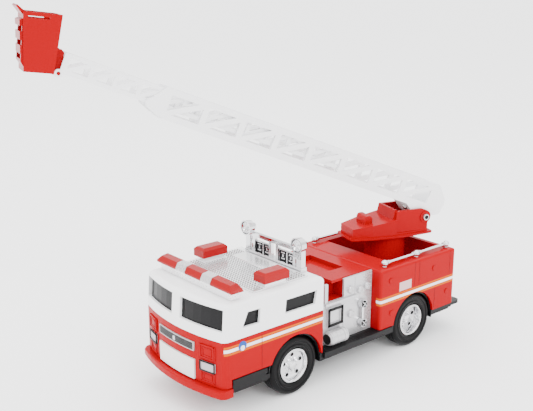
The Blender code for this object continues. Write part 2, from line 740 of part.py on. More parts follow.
def make_turntable(axis):
    """Turning base: plate, sloping front housing, two hinge cheeks, front wall and pedestal."""
    base = slab(symmetric(TURN_PLAN), *PLATE_Z)
    housing = slab(symmetric(HOUSING_PLAN), PLATE_Z[0] + 0.5, 102.0)
    top_z = 94.3
    wedge = [(-60, top_z - 3.2), (-36.8, top_z), (-1.6, top_z + 35.2 * DECK_SLOPE), (2.0, 100.2),
             (2.0, 88.4), (50, 88.4), (50, 120), (-60, 120)]
    cut(housing, slab(wedge, -40, 40, axis="X"))
    cheeks = []
    outline = [(0.0, 86.0), (2.0, CHEEK_TOP - 1), (2.8, CHEEK_TOP), (HINGE_BACK - 3, CHEEK_TOP),
               *arc((HINGE_BACK, HINGE_Z), 5.6, 66, 0, 4), (32.4, HINGE_Z - 5.5), (32.4, 86.0)]
    for side in (1, -1):
        cheeks.append(slab(outline, *sorted((side * CHEEK_X[0], side * CHEEK_X[1])), axis="X"))
        inner, outer = (side * 15.0, HINGE_BACK, HINGE_Z), (side * 16.2, HINGE_BACK, HINGE_Z)
        cheeks.append(rod(inner, outer, 4.9, sides=20))
    wall = slab([(-1.9, 96.0), (0.9, CHEEK_TOP + 0.7), (3.1, CHEEK_TOP + 0.7), (3.1, 88.0), (-1.9, 88.0)],
                -13.4, 13.4, axis="X")
    seat = slab([(-24.2, 94.0), (-24.2, 100.2), *arc((-21.2, 100.2), 3.0, 180, 90, 3), (-18.6, 103.2),
                 (-16.6, 101.0), (-16.6, 94.0)], -7.0, 7.0, axis="X")
    pedestal = rod((0, 0, WELL_FLOOR + GAP), (0, 0, PLATE_Z[0] + 0.6), PEDESTAL_RADIUS, sides=32)
    spigot = rod((0, 0, 47.9), (0, 0, 52), SPIGOT_RADIUS, sides=24)
    join(base, housing, *cheeks, wall, seat, pedestal, spigot)
    hollow = slab(symmetric([(-34.6, 9.0), (-20.0, 13.0), (-1.0, 14.6)]), 80, 92)
    bore = rod((-30, HINGE_BACK, HINGE_Z), (30, HINGE_BACK, HINGE_Z), 2.3, sides=16)
    keep = rod((0, 0, 60), (0, 0, 95), PEDESTAL_RADIUS - 0.2, sides=32)
    cut(hollow, keep)
    cut(base, hollow, bore)
    finish(base, "turntable", axis, "red")

    washer = rod((0, 0, 45.6), (0, 0, 47.6), 10.0, sides=20)
    join(washer, rod((0, 0, 44.2), (0, 0, 46), 3.2, sides=12))
    finish(washer, "turntable_retainer", axis, "steel")

    screw = rod((-16.0, HINGE_BACK, HINGE_Z), (16.8, HINGE_BACK, HINGE_Z), AXLE_RADIUS, sides=16)
    head = rod((16.5, HINGE_BACK, HINGE_Z), (17.9, HINGE_BACK, HINGE_Z), 3.0, tip=2.6, sides=16)
    nut = rod((-16.5, HINGE_BACK, HINGE_Z), (-18.3, HINGE_BACK, HINGE_Z), 3.2, sides=6)
    end = rod((-17.5, HINGE_BACK, HINGE_Z), (-15, HINGE_BACK, HINGE_Z), AXLE_RADIUS, sides=16)
    join(screw, head, nut, end)
    finish(screw, "ladder_hinge_screw", axis, "steel", at=(0, HINGE_BACK, HINGE_Z))


# ---------------------------------------------------------------- ladder

def ladder_point(along, square):
    """A point of a side frame's outline: the ladder runs towards -Y from its hinge."""
    return (-along, square)


def bay_openings(start, end, low, high, post, diagonal):
    """Two triangles left open in a bay by its diagonal, which rises towards the rear post."""
    rear, front = start + post / 2, end - post / 2
    run = diagonal
    rise = diagonal * (high - low) / (front - rear)
    upper = [(front, low + rise), (front, high), (rear + run, high)]
    lower = [(rear, high - rise), (rear, low), (front - run, low)]
    return [[ladder_point(*p) for p in upper], [ladder_point(*p) for p in lower]]


FIRST_POST = -1.3


def open_bays(ladder, first, bay, bays, low, high, post, diagonal):
    """Cuts the triangular openings of every bay through both side frames."""
    loops = []
    for number in range(bays):
        start = first + bay * number
        loops += bay_openings(start, start + bay, low, high, post, diagonal)
    return cut(ladder, slab(loops[0], -15, 15, axis="X", holes=loops[1:]))


def make_lower_ladder(hinge):
    last = FIRST_POST + BAY * BAYS
    outline = [(-14.6, RAIL_LOW - 1.0), (-16.4, RAIL_LOW + 8), (-15.6, 19.0), (-5.4, RAIL_HIGH),
               (last + 2.0, RAIL_HIGH), (last + 8.5, RAIL_HIGH - 8), (last + 15.0, 14.6),
               (last + 13.0, 11.2), (last + 4.0, 7.4), (last - 4.0, RAIL_LOW)]
    outline = [ladder_point(*p) for p in outline]
    frames = [slab(outline, *sorted((side * FRAME_X[0], side * FRAME_X[1])), axis="X") for side in (1, -1)]
    foot = [(21.4, RAIL_LOW + 2), (21.4, RAIL_LOW), (9.0, -1.6), *arc((0, 0), 4.6, -55, -170, 5),
            (-8.0, 2.6), (-14.6, RAIL_LOW - 1.0), (-16.0, RAIL_LOW + 2.0)]
    wedge = slab([ladder_point(*p) for p in foot], -FRAME_X[1], FRAME_X[1], axis="X")
    tail = [(-14.6, RAIL_LOW - 1), (-16.4, RAIL_LOW + 8), (-15.6, 19.0), (-13.8, 19.0),
            (-14.4, RAIL_LOW + 8), (-12.8, RAIL_LOW)]
    rear = slab([ladder_point(*p) for p in tail], -10.5, 10.5, axis="X")
    rungs = []
    for i in range(1, BAYS * 2 + 1):
        along = FIRST_POST + BAY * i / 2
        rungs.append(box((-10.5, 10.5), (-along - 1.2, -along + 1.2), (RAIL_LOW, RAIL_LOW + 2.4)))
    guides = []
    for bay in (3, 5, 7):
        along = FIRST_POST + BAY * bay
        for side in (1, -1):
            for z in ((RAIL_LOW + 5.0, FLY_LOW - GAP), (FLY_HIGH + GAP, RAIL_HIGH)):
                guides.append(box(sorted((side * 7.6, side * 10.5)), (-along - 2.2, -along + 2.2), z))
    ladder = join(wedge, *frames, rear, *rungs, *guides)
    open_bays(ladder, FIRST_POST, BAY, BAYS, RAIL_LOW + RAIL, RAIL_HIGH - RAIL, 4.6, 4.2)
    cut(ladder, rod((-30, 0, 0), (30, 0, 0), AXLE_RADIUS + GAP, sides=16))
    finish(ladder, "ladder_lower", hinge, "white")

    slope = Vector((0, -12.4, RAIL_LOW + 1.6)).normalized()
    outward = Vector((0, slope.z, -slope.y)) * -1
    seat = Vector((4.0, -14.6, 1.9))
    head = rod(seat + outward * GAP, seat + outward * 1.5, 2.5, tip=2.1, sides=14)
    finish(head, "ladder_arm_screw", hinge, "steel")


def make_fly_ladder(slide):
    """Upper ladder that slides inside the lower one."""
    first = FLY_TIP - 3.0 - FLY_BAYS * FLY_BAY
    outline = [(first - 1.6, FLY_LOW), (FLY_TIP - 1.0, FLY_LOW), (FLY_TIP, FLY_LOW + 1),
               (FLY_TIP, FLY_HIGH - 1), (FLY_TIP - 1.0, FLY_HIGH), (first - 1.6, FLY_HIGH)]
    outline = [ladder_point(*p) for p in outline]
    frames = [slab(outline, *sorted((side * FLY_X[0], side * FLY_X[1])), axis="X") for side in (1, -1)]
    for side in (1, -1):
        inner, outer = (side * FLY_X[0], -PIN[0], PIN[1]), (side * FLY_X[1], -PIN[0], PIN[1])
        frames.append(rod(inner, outer, 3.0, sides=20))
    rungs = []
    for bay in range(FLY_BAYS):
        along = first + bay * FLY_BAY
        rungs.append(box((-8.0, 8.0), (-along - 1.1, -along + 1.1), (FLY_LOW, FLY_LOW + 2.4)))
    fly = join(*frames, *rungs)
    open_bays(fly, first, FLY_BAY, FLY_BAYS, FLY_LOW + 3.0, FLY_HIGH - 3.0, 3.0, 2.8)
    cut(fly, rod((-20, -PIN[0], PIN[1]), (20, -PIN[0], PIN[1]), 1.4, sides=12))
    finish(fly, "ladder_upper", slide, "white")

    pin = rod((-9.6, -PIN[0], PIN[1]), (9.6, -PIN[0], PIN[1]), 1.1, sides=12)
    finish(pin, "basket_pin", slide, "red", at=(0, -PIN[0], PIN[1]))


def bucket(side_view, low, high):
    """A four-sided tub from its side view and its half widths at two heights."""
    tub = slab(side_view, -20, 20, axis="X")
    ends = [(-low[0], low[1]), (low[0], low[1]), (high[0], high[1]), (-high[0], high[1])]
    return combine(tub, [slab(ends, -40, 20, axis="Y")], "INTERSECT")


def make_basket(hinge):
    """Rescue basket: four walls, a barred front, a lip and two hinge ears."""
    tub = bucket([(-3.5, BASKET_LOW), (-0.1, BASKET_HIGH), (-26.1, BASKET_HIGH), (-23.8, BASKET_LOW)],
                 (12.9, BASKET_LOW - 1), (14.3, BASKET_HIGH + 1))
    bars = slab([(-22.0, BASKET_LOW + 0.6), (-26.0, BASKET_LOW + 6.4), (-28.0, BASKET_HIGH - 6),
                 (-24.0, BASKET_HIGH - 4)], -12.4, 12.4, axis="X")
    join(tub, bars)
    hollow = bucket([(-5.2, BASKET_LOW + 1.8), (-1.7, BASKET_HIGH + 5), (-24.9, BASKET_HIGH + 5),
                     (-22.2, BASKET_LOW + 1.8)], (11.3, BASKET_LOW - 1), (12.8, BASKET_HIGH + 5))
    cut(tub, hollow)
    slots = []
    for z in (BASKET_LOW + 8.0, BASKET_LOW + 17.2, BASKET_LOW + 26.4):
        slots.append(box((-9.6, 9.6), (-40, -18), (z, z + 3.6)))
        slots.append(box((-20, 20), (-40, -26.0), (z, z + 3.6)))
    slots.append(box((-20, 20), (-22.6, -8.4), (BASKET_HIGH - 4.0, BASKET_HIGH - 2.6)))
    cut(tub, *slots)
    top = BASKET_HIGH
    lip = slab([(-24.6, top - 2.0), (-24.6, top), (-29.6, top + 3.8), (-30.4, top + 2.8),
                (-26.2, top - 2.0)], -12.0, 12.0, axis="X")
    ear = [*arc((0, 0), 2.6, -100, 30, 5), (3.6, 14.2), (1.6, 16.4), (-2.0, 16.4), (-3.6, 2.0), (-4.0, 0.6)]
    ears = [slab(ear, *sorted((side * 4.6, side * 6.8)), axis="X") for side in (1, -1)]
    join(tub, lip, *ears)
    cut(tub, rod((-20, 0, 0), (20, 0, 0), 1.4, sides=12))
    finish(tub, "basket", hinge, "red")


# ---------------------------------------------------------------- pieces inside

def make_batteries(root):
    """Three AA cells side by side, every other one turned round."""
    middle = sum(BATTERY_Y) / 2
    for number, x in enumerate((-15.6, 0.0, 15.6), start=1):
        way = 1 if number % 2 else -1
        cell = rod((x, middle - 25.0 * way, 30.0), (x, middle + 23.6 * way, 30.0), 7.2, sides=20)
        join(cell, rod((x, middle + 23 * way, 30.0), (x, middle + 25.0 * way, 30.0), 2.6, sides=12))
        finish(cell, "battery_%d" % number, root, "cell")


def make_battery_contacts(root):
    for word, y in (("front", BATTERY_Y[0] + 1.8), ("rear", BATTERY_Y[1] - 2.4)):
        finish(box((-23, 23), (y, y + 0.6), (24, 36)), "battery_contact_" + word, root, "steel")


def make_battery_door(root):
    door = box((-24.0, 24.0), grown(BATTERY_Y, -1.9), (FLOOR_LOW, FLOOR_LOW + 1.8))
    rear = BATTERY_Y[1] - 5.0
    finger = [box((-8, 8), (y, y + 1.0), (FLOOR_LOW - 1, FLOOR_LOW + 0.8)) for y in (34, 37, 40)]
    cut(door, rod((0, rear, 10), (0, rear, 30), 1.5, sides=10), *finger)
    finish(door, "battery_door", root, "black")
    screw = rod((0, rear, 17.2), (0, rear, 18.5), 2.4, sides=12)
    join(screw, rod((0, rear, 18), (0, rear, 21.6), 1.2, sides=8))
    finish(screw, "battery_door_screw", root, "steel")


def make_electronics(root):
    board = box((-19, 19), (-65.0, -63.6), (26.6, 46.0))
    join(board, box((-3, 3), (-68.3, -64.6), (31, 37)))
    finish(board, "circuit_board", root, "board")
    speaker = rod((0, -39, FLOOR_TOP + GAP), (0, -39, 29.2), 14.0, sides=28)
    join(speaker, rod((0, -39, 28.6), (0, -39, 34.0), 8.0, sides=20))
    finish(speaker, "speaker", root, "paper")


def make_power_switch(slide):
    """Sliding switch knob in a slot of the chassis."""
    knob = box((-2.1, 2.1), (-3.4, 3.4), (-7.4, 2.0))
    join(knob, box((-4.4, 4.4), (-5.4, 5.4), (0.6, 2.6)))
    finish(knob, "power_switch", slide, "black")


# ---------------------------------------------------------------- assembly

def build():
    root = empty("truck_frame", None, (*ORIGIN, 0))
    front_axle = empty("front_axle_line", root, (0, 0, AXLE_Z))
    rear_axle = empty("rear_axle_line", root, (0, WHEELBASE, AXLE_Z))
    plate_slide = empty("front_plate_slide", root, (0, FRONT_Y, 34))
    switch_slide = empty("power_switch_slide", root, (17.0, -17.0, FLOOR_TOP))
    turning = empty("turning_axis", root, (0, TURN_Y, 0), (0, 0, TURN_YAW))
    hinge = empty("ladder_hinge_axis", turning, (0, HINGE_BACK, HINGE_Z), (-LIFT, 0, 0))
    fly_slide = empty("fly_slide", hinge, (0, 0, 0))
    basket_hinge = empty("basket_hinge_axis", fly_slide, (0, -PIN[0], PIN[1]), (LIFT - BASKET_TILT, 0, 0))

    make_chassis(root)
    make_chassis_screws(root)
    make_wheels(front_axle, rear_axle)
    make_cab_lower(root)
    make_cab_upper(root)
    make_cab_windows(root)
    make_front_pieces(root, plate_slide)
    make_bumper(root)
    make_roof(root)
    make_light_bar(root)
    make_light_rack(root)
    make_mid_deck(root)
    for word, side in (("left", 1), ("right", -1)):
        make_beacon("beacon_" + word, root, side)
        make_pump_panel("pump_panel_" + word, root, side)
        make_intake("intake_" + word, root, side)
        make_handrail("handrail_" + word, root, side)
    make_rear_body(root)
    make_turntable(turning)
    make_lower_ladder(hinge)
    make_fly_ladder(fly_slide)
    make_basket(basket_hinge)
    make_batteries(root)
    make_battery_contacts(root)
    make_battery_door(root)
    make_electronics(root)
    make_power_switch(switch_slide)


for leftover in list(bpy.data.objects):
    bpy.data.objects.remove(leftover)
PARTS = make_collection("toy_fire_engine")
MATERIALS = make_materials()
build()
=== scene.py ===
import math

import bmesh
import bpy
from mathutils import Matrix, Vector


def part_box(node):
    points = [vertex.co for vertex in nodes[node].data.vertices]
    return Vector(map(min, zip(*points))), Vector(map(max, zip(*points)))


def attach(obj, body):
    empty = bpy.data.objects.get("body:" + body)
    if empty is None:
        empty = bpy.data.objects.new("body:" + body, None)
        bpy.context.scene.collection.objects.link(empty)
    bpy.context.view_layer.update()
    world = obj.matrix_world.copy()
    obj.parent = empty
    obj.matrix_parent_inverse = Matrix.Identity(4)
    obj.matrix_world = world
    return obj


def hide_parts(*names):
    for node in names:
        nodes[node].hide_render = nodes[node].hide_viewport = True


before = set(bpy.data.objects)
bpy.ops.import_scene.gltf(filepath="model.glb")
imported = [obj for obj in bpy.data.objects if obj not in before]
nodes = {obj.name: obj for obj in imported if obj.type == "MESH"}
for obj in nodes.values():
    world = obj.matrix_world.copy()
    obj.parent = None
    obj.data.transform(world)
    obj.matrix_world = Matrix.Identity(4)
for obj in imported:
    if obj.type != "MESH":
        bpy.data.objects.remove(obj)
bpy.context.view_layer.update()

MM = 0.001
low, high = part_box("front_axle")
ORIGIN = Vector(((low.x + high.x) / 2, (low.y + high.y) / 2, 0))     # on the ground under the front axle

# ---------------------------------------------------------------------------------------- studio
# A plain pale floor under a soft overcast ceiling, with three broad lamps, and the camera that
# looks at the engine's front left corner from above its roof.
FLOOR_HALF = 14.0
FLOOR_DROP = 0.0004
LAMP_TARGET = Vector((0, 0, 0.05))
SKY_GRADE = (("From Min", 0.28), ("From Max", 0.62), ("To Min", 2.1), ("To Max", 3.7))
CAMERA_PLACE = (464.55, -383.54, 302.54)
CAMERA_AZIMUTH = math.radians(49.611)
CAMERA_ELEVATION = math.radians(15.565)
CAMERA_LENS = 57.34
CAMERA_SENSOR = 36.0


def at(x, y, z):
    """A place in the frame, from millimetres off the ground point under the front axle."""
    return ORIGIN + Vector((x, y, z)) * MM


mesh = bpy.data.meshes.new("studio_floor")
sheet = bmesh.new()
bmesh.ops.create_grid(sheet, x_segments=1, y_segments=1, size=FLOOR_HALF)
sheet.to_mesh(mesh)
sheet.free()
floor = bpy.data.objects.new("studio_floor", mesh)
bpy.context.scene.collection.objects.link(floor)
floor.location.z = -FLOOR_DROP
floor_paint = bpy.data.materials.new("floor_paint")
floor_paint.use_nodes = True
floor_shader = floor_paint.node_tree.nodes["Principled BSDF"]
floor_shader.inputs["Base Color"].default_value = (0.96, 0.96, 0.965, 1)
floor_shader.inputs["Roughness"].default_value = 0.8
floor_shader.inputs["Specular IOR Level"].default_value = 0.0
mesh.materials.append(floor_paint)


def broad_lamp(name, place, size, power):
    """A soft square lamp that faces the middle of the engine."""
    data = bpy.data.lights.new(name, "AREA")
    data.size = size
    data.energy = power
    lamp = bpy.data.objects.new(name, data)
    lamp.location = place
    lamp.rotation_euler = (LAMP_TARGET - Vector(place)).to_track_quat("-Z", "Y").to_euler()
    bpy.context.scene.collection.objects.link(lamp)


broad_lamp("side_lamp", (1.3, -0.1, 1.0), 0.5, 10)
broad_lamp("front_lamp", (-0.4, -1.5, 0.9), 0.5, 9)
broad_lamp("top_lamp", (-0.3, 0.2, 1.7), 0.8, 6)

world = bpy.data.worlds.new("studio_ceiling")
world.use_nodes = True
sky = world.node_tree
direction = sky.nodes.new("ShaderNodeTexCoord")
parts = sky.nodes.new("ShaderNodeSeparateXYZ")
ramp = sky.nodes.new("ShaderNodeMapRange")
for socket, value in SKY_GRADE:
    ramp.inputs[socket].default_value = value
sky.links.new(direction.outputs["Generated"], parts.inputs["Vector"])
sky.links.new(parts.outputs["Z"], ramp.inputs["Value"])
sky.links.new(ramp.outputs["Result"], sky.nodes["Background"].inputs["Strength"])
sky.nodes["Background"].inputs["Color"].default_value = (1, 1, 1, 1)
bpy.context.scene.world = world

camera_data = bpy.data.cameras.new("studio_camera")
camera_data.lens = CAMERA_LENS
camera_data.sensor_width = CAMERA_SENSOR
camera_data.clip_start = 0.01
camera = bpy.data.objects.new("studio_camera", camera_data)
bpy.context.scene.collection.objects.link(camera)
backward = Vector((math.sin(CAMERA_AZIMUTH) * math.cos(CAMERA_ELEVATION),
                   -math.cos(CAMERA_AZIMUTH) * math.cos(CAMERA_ELEVATION),
                   math.sin(CAMERA_ELEVATION)))
camera.rotation_euler = backward.to_track_quat("Z", "Y").to_euler()
camera.location = at(*CAMERA_PLACE)
bpy.context.scene.camera = camera


# ------------------------------------------------------------------------------------- chassis
# The floor of the engine is one moulding in satin black ABS, with running boards, a rear step
# and wheel wells. The battery door and switch knob are the same plastic; four screws hold the
# chassis to the shells above.
PER_METRE = 1000.0
CLOUD_SCALE = 26.0
RIB_PITCH = 1.9
RIB_RADIUS = 0.35
RIB_LENGTH = 72.0


class Wire:
    """A shader value on which sums can be written."""

    def __init__(self, tree, socket):
        self.tree = tree
        self.socket = socket

    def calc(self, operation, first, second):
        step = self.tree.nodes.new("ShaderNodeMath")
        step.operation = operation
        for place, value in zip(step.inputs, (first, second)):
            if isinstance(value, Wire):
                self.tree.links.new(value.socket, place)
            else:
                place.default_value = value
        return Wire(self.tree, step.outputs[0])

    def __add__(self, other):
        return self.calc("ADD", self, other)

    def __radd__(self, other):
        return self.calc("ADD", other, self)

    def __sub__(self, other):
        return self.calc("SUBTRACT", self, other)

    def __rsub__(self, other):
        return self.calc("SUBTRACT", other, self)

    def __mul__(self, other):
        return self.calc("MULTIPLY", self, other)

    def __rmul__(self, other):
        return self.calc("MULTIPLY", other, self)

    def __gt__(self, other):
        return self.calc("GREATER_THAN", self, other)

    def __lt__(self, other):
        return self.calc("LESS_THAN", self, other)

    def __abs__(self):
        return self.calc("ABSOLUTE", self, 0.0)

    def within(self, low_end, high_end):
        return (self > low_end) * (self < high_end)


class Finish:
    """A moulded or plated surface: its colour, its gloss and its small unevenness."""

    def __init__(self, name, colour, roughness, metallic=0.0, shine=0.5, coat=0.0, grain=0.3,
                 grain_scale=900.0, mottle=0.04):
        self.material = bpy.data.materials.new(name)
        self.material.use_nodes = True
        self.tree = self.material.node_tree
        self.shader = self.tree.nodes["Principled BSDF"]
        self.shader.inputs["Metallic"].default_value = metallic
        self.shader.inputs["Specular IOR Level"].default_value = shine
        self.shader.inputs["Coat Weight"].default_value = coat
        self.shader.inputs["Coat Roughness"].default_value = 0.05
        self.place = self.node("ShaderNodeTexCoord").outputs["Object"]
        parts = self.node("ShaderNodeSeparateXYZ", Vector=self.place).outputs
        self.x = (Wire(self.tree, parts["X"]) - ORIGIN.x) * PER_METRE
        self.y = (Wire(self.tree, parts["Y"]) - ORIGIN.y) * PER_METRE
        self.z = Wire(self.tree, parts["Z"]) * PER_METRE
        self.cloud = self.noise(CLOUD_SCALE)
        self.fine = self.noise(grain_scale)
        gloss = (self.cloud - 0.5) * (roughness * 0.5) + (self.fine - 0.5) * (roughness * 0.4)
        gloss = gloss + roughness
        self.tree.links.new(gloss.socket, self.shader.inputs["Roughness"])
        darker = [channel * (1 - mottle * 2) for channel in colour]
        self.colour = self.blend(self.cloud, darker, colour)
        self.height = self.fine * grain

    def node(self, kind, settings=None, **sockets):
        """A new shader node, with its properties set and its inputs filled or linked."""
        made = self.tree.nodes.new(kind)
        for key, value in (settings or {}).items():
            setattr(made, key, value)
        for key, value in sockets.items():
            self.fill(made.inputs[key], value)
        return made

    def fill(self, socket, value):
        """Links a value that varies to an input, or sets the input to a constant."""
        if isinstance(value, Wire):
            value = value.socket
        if isinstance(value, bpy.types.NodeSocket):
            self.tree.links.new(value, socket)
        elif isinstance(value, (list, tuple)) and len(value) == 3:
            socket.default_value = (*value, 1.0)
        else:
            socket.default_value = value

    def noise(self, scale):
        made = self.node("ShaderNodeTexNoise", Vector=self.place, Scale=scale, Detail=2.0)
        return Wire(self.tree, made.outputs["Fac"])

    def blend(self, mask, first, second):
        """The first colour where the mask is 0 and the second where it is 1."""
        mix = self.node("ShaderNodeMix", {"data_type": "RGBA"})
        self.fill(mix.inputs["Factor"], mask)
        self.fill(mix.inputs[6], first)
        self.fill(mix.inputs[7], second)
        return mix.outputs[2]

    def cover_with_colour(self, mask, colour):
        """Covers the surface with a colour where the mask is 1."""
        self.colour = self.blend(mask, self.colour, colour)

    def done(self, depth=0.00002):
        """Joins the colour and the bump, depth metres high, to the shader."""
        self.fill(self.shader.inputs["Base Color"], self.colour)
        bump = self.node("ShaderNodeBump", Strength=0.6, Distance=depth, Height=self.height)
        self.tree.links.new(bump.outputs["Normal"], self.shader.inputs["Normal"])
        return self.material


def new_piece(name, shape, body, finishes, sharp=35.0):
    """Makes an object of a finished shape, on a body, with its finishes."""
    bmesh.ops.recalc_face_normals(shape, faces=shape.faces)
    data = bpy.data.meshes.new(name)
    shape.to_mesh(data)
    shape.free()
    for finish in finishes:
        data.materials.append(finish)
    data.shade_smooth()
    data.set_sharp_from_angle(angle=math.radians(sharp))
    piece = bpy.data.objects.new(name, data)
    bpy.context.scene.collection.objects.link(piece)
    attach(piece, body)
    return piece


def wear(material, *names):
    """Gives CAD pieces a finish."""
    for name in names:
        nodes[name].data.materials.clear()
        nodes[name].data.materials.append(material)


black_plastic = Finish("black_plastic", (0.0035, 0.0035, 0.004), 0.34, shine=0.16).done()
wear(black_plastic, "chassis", "battery_door", "power_switch")
shape = bmesh.new()
for side in (1, -1):
    for number in range(4):
        place = Matrix.Translation(at(side * (41.0 + number * RIB_PITCH), 66.0, 25.1))
        lengthwise = Matrix.Rotation(math.radians(90), 4, "X")
        bmesh.ops.create_cone(shape, cap_ends=True, segments=8, radius1=RIB_RADIUS * MM,
                              radius2=RIB_RADIUS * MM, depth=RIB_LENGTH * MM, matrix=place @ lengthwise)
new_piece("running_board_ribs", shape, "truck", [black_plastic])
zinc = Finish("zinc_steel", (0.55, 0.54, 0.53), 0.26, metallic=1.0).done()
wear(zinc, "front_axle", "rear_axle", "battery_door_screw", "battery_contact_front",
     "battery_contact_rear", "chassis_screw_1", "chassis_screw_2", "chassis_screw_3", "chassis_screw_4")

# --------------------------------------------------------------------------------------- tyres
# Soft black tyres pressed over the rims. The tread is flat with four shallow grooves, and each
# wall has a raised ring inside and outside a plain band.
TYRE_SIDES = 72
RIM_SEAT = 13.7
GROOVES = (3.6, 1.2, -1.2, -3.6)
GROOVE_DEPTH = 0.6


def spun(shape, profile, centre, steps, axis=(1, 0, 0), material=0, closed=True):
    """Turns a profile of (radius, distance along the axis) points, in millimetres, about an axis."""
    axis = Vector(axis).normalized()
    outward = axis.orthogonal().normalized()
    points = [shape.verts.new(centre + (axis * along + outward * radius) * MM)
              for radius, along in profile]
    pairs = list(zip(points, points[1:]))
    if closed:
        pairs.append((points[-1], points[0]))
    edges = [shape.edges.new(pair) for pair in pairs]
    before = set(shape.faces)
    bmesh.ops.spin(shape, geom=points + edges, cent=centre, axis=axis, angle=math.tau, steps=steps,
                   use_merge=True, use_duplicate=False)
    for face in set(shape.faces) - before:
        face.material_index = material


rubber = Finish("tyre_rubber", (0.0035, 0.0034, 0.0038), 0.36, shine=0.1, grain=0.5, grain_scale=1400.0)
rubber = rubber.done(0.00004)
for end in ("front", "rear"):
    for word in ("left", "right"):
        node = "%s_tyre_%s" % (end, word)
        low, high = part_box(node)
        outer = (high.z - low.z) / 2 / MM
        half = (high.x - low.x) / 2 / MM
        wall = [(RIM_SEAT, half - 1.4), (RIM_SEAT + 0.7, half - 0.5), (RIM_SEAT + 1.5, half - 0.1),
                (RIM_SEAT + 2.6, half - 0.1), (RIM_SEAT + 3.0, half - 0.7), (outer - 3.6, half - 0.7),
                (outer - 3.2, half - 0.1), (outer - 2.4, half - 0.1), (outer - 1.3, half - 0.5),
                (outer - 0.4, half - 1.5), (outer, half - 2.8)]
        tread = []
        for groove in GROOVES:
            tread += [(outer, groove + 0.45), (outer - GROOVE_DEPTH, groove + 0.3),
                      (outer - GROOVE_DEPTH, groove - 0.3), (outer, groove - 0.45)]
        profile = wall + tread + [(radius, -along) for radius, along in reversed(wall)]
        shape = bmesh.new()
        spun(shape, profile, (low + high) / 2, TYRE_SIDES)
        tyre = new_piece("tyre_%s_%s" % (end, word), shape, end + "_wheels", [rubber])
        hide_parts(node)

# ---------------------------------------------------------------------------------------- rims
# Vacuum-plated plastic rims: a rolled outer lip, a dished face with five openings of painted
# shade, a ring of ten wheel nuts and a domed hub. The front ones are shallow and the rear ones deep.
OPENINGS = 5
NUTS = 10
RIM_OUTER = 13.3
OPENING_CIRCLE = 8.3
NUT_CIRCLE = 5.2
WELD_DISTANCE = 0.000005
plating = Finish("bright_plating", (0.70, 0.70, 0.715), 0.08, metallic=1.0, grain=0.7, grain_scale=220.0)
bright_plating = plating.done(0.0001)
# recess_shadow is near-black painted shade, laid where openings and recesses fall into shade.
shadow_plastic = Finish("recess_shadow", (0.008, 0.008, 0.009), 0.5, shine=0.1).done()


def plug(shape, place, direction, radius, depth, sides, material=0, tip=None):
    """A short round or many-sided plug, in millimetres, that points along a direction."""
    turn = Vector(direction).to_track_quat("Z", "Y").to_matrix().to_4x4()
    made = bmesh.ops.create_cone(shape, cap_ends=True, segments=sides, radius1=radius * MM,
                                 radius2=(radius if tip is None else tip) * MM, depth=depth * MM,
                                 matrix=Matrix.Translation(place) @ turn)
    for face in {face for vert in made["verts"] for face in vert.link_faces}:
        face.material_index = material


def weld(shape):
    """Joins the points that a turned profile leaves in one place on its axis."""
    bmesh.ops.remove_doubles(shape, verts=shape.verts, dist=WELD_DISTANCE)


for end, dish in (("front", 3.4), ("rear", 6.6)):
    for word, side in (("left", 1), ("right", -1)):
        node = "%s_rim_%s" % (end, word)
        low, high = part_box(node)
        middle = (low + high) / 2
        half = (high.x - low.x) / 2 / MM
        face = half - dish
        hub = [(0.0, face + 2.6), (1.6, face + 2.5), (3.0, face + 2.0), (3.6, face + 1.0),
               (4.0, face + 0.1), (4.6, face - 0.3)]
        dished = [(7.0, face - 0.1), (9.6, face + 0.1), (10.6, face + 0.5)]
        lip = [(11.2, half - 0.9), (11.7, half - 0.1), (12.4, half), (13.1, half - 0.4),
               (RIM_OUTER, half - 1.2)]
        back = [(RIM_OUTER, -half), (11.9, -half), (11.9, face - 3.0), (4.4, face - 2.6), (4.4, -half),
                (2.3, -half), (2.3, face - 1.2), (0.0, face - 1.2)]
        shape = bmesh.new()
        spun(shape, hub + dished + lip + back, middle, 64, (side, 0, 0), closed=False)
        for number in range(OPENINGS):
            angle = math.tau * (number + 0.25) / OPENINGS
            centre = middle + Vector((0, math.cos(angle), math.sin(angle))) * OPENING_CIRCLE * MM
            centre.x += side * (face + 0.05) * MM
            plug(shape, centre, (side, 0, 0), 2.1, 0.9, 20, tip=1.8)
            # Each opening is filled with a near-black disc of painted shade.
            centre.x += side * 0.15 * MM
            plug(shape, centre, (side, 0, 0), 1.55, 0.8, 16, material=1)
        for number in range(NUTS):
            angle = math.tau * (number + 0.5) / NUTS
            centre = middle + Vector((0, math.cos(angle), math.sin(angle))) * NUT_CIRCLE * MM
            centre.x += side * (face + 0.3) * MM
            plug(shape, centre, (side, 0, 0), 0.62, 1.3, 6)
        weld(shape)
        rim = new_piece("wheel_%s_%s" % (end, word), shape, end + "_wheels",
                        [bright_plating, shadow_plastic])
        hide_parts(node)

# ----------------------------------------------------------------------------------- lower cab
# The lower cab is glossy red ABS with an orange, a white and an orange printed line along each
# side, a round badge, a moulded door seam and nested panels beside the grille.
RED = (0.32, 0.0001, 0.004)
SEAM_RED = (0.16, 0.0003, 0.0006)
STRIPE_WHITE = (0.88, 0.87, 0.86)
STRIPE_ORANGE = (0.52, 0.092, 0.0002)
STRIPE_LINES = ((0.0, 1.6, STRIPE_ORANGE), (2.1, 4.5, STRIPE_WHITE), (5.0, 6.6, STRIPE_ORANGE))
REAR_PRINT_Y = 90.0
PRINT_INNER = 46.2
DOOR_Y = -33.0
CAB_HALF = 47.8
FRONT_RADIUS = 155.0
FRONT_Y = -73.2
PANEL_X = 33.4
BADGE_Y = -50.5
BADGE_Z = 54.4


